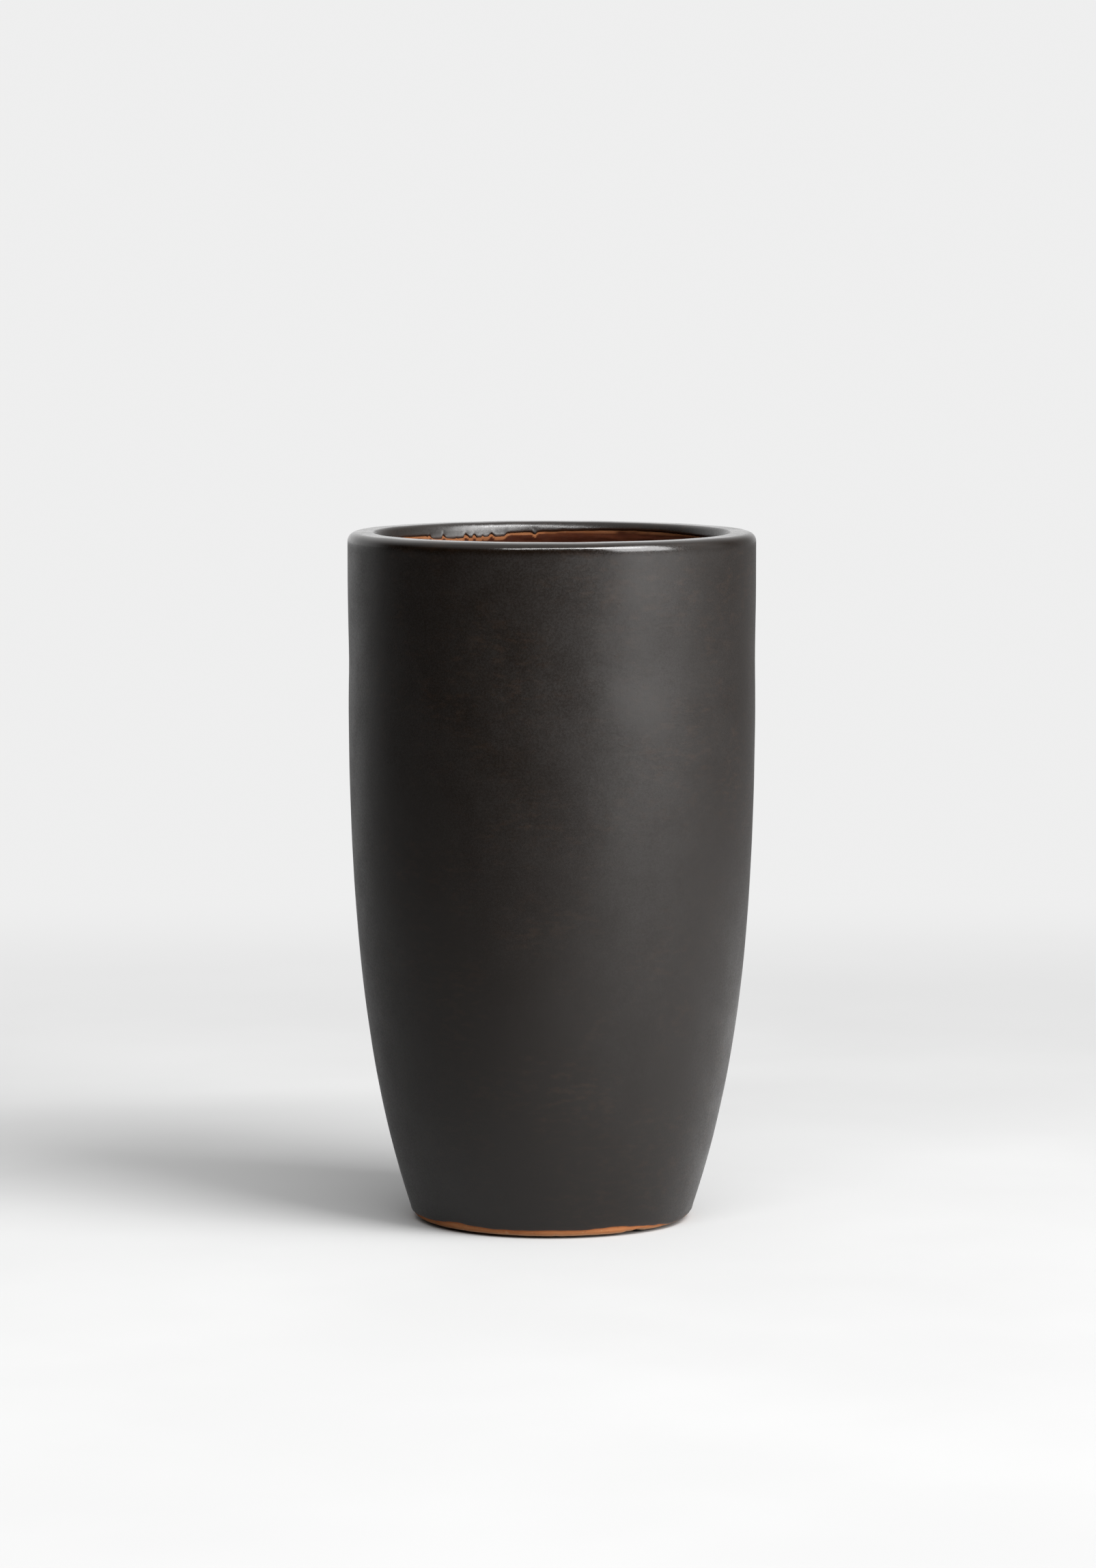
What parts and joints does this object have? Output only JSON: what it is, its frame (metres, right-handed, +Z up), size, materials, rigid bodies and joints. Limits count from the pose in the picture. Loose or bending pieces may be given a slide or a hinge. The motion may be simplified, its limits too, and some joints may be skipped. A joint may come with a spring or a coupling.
{
  "type": "glazed terracotta planter",
  "caption": "Tall round terracotta planter with a dark satin glaze, a rolled rim, a bare clay foot and a plug that lifts out of its drain hole.",
  "frame": {"origin": "on the floor under the middle of the pot, level with the underside of the foot pads", "axes": "+Z up along the pot's axis, -Y towards the front of the pot, +X to its right seen from the front"},
  "size_m": [0.2999, 0.3, 0.508],
  "materials": {
    "terracotta": "matte",
    "glaze": "satin",
    "plug_rubber": "matte",
    "pad_rubber": "matte"
  },
  "bodies": {
    "pot": {"base_slab": "terracotta", "wall": "terracotta", "rim_roll": "terracotta", "glaze_coat": "glaze", "foot_pad_front_right": "pad_rubber", "foot_pad_back_right": "pad_rubber", "foot_pad_back_left": "pad_rubber", "foot_pad_front_left": "pad_rubber"},
    "plug": {"drain_plug": "plug_rubber"}
  },
  "joints": [
    {"name": "plug_lift", "type": "slide", "parent": "pot", "child": "plug", "axis": [0, 0, 1], "range_m": [0, 0.52]}
  ]
}
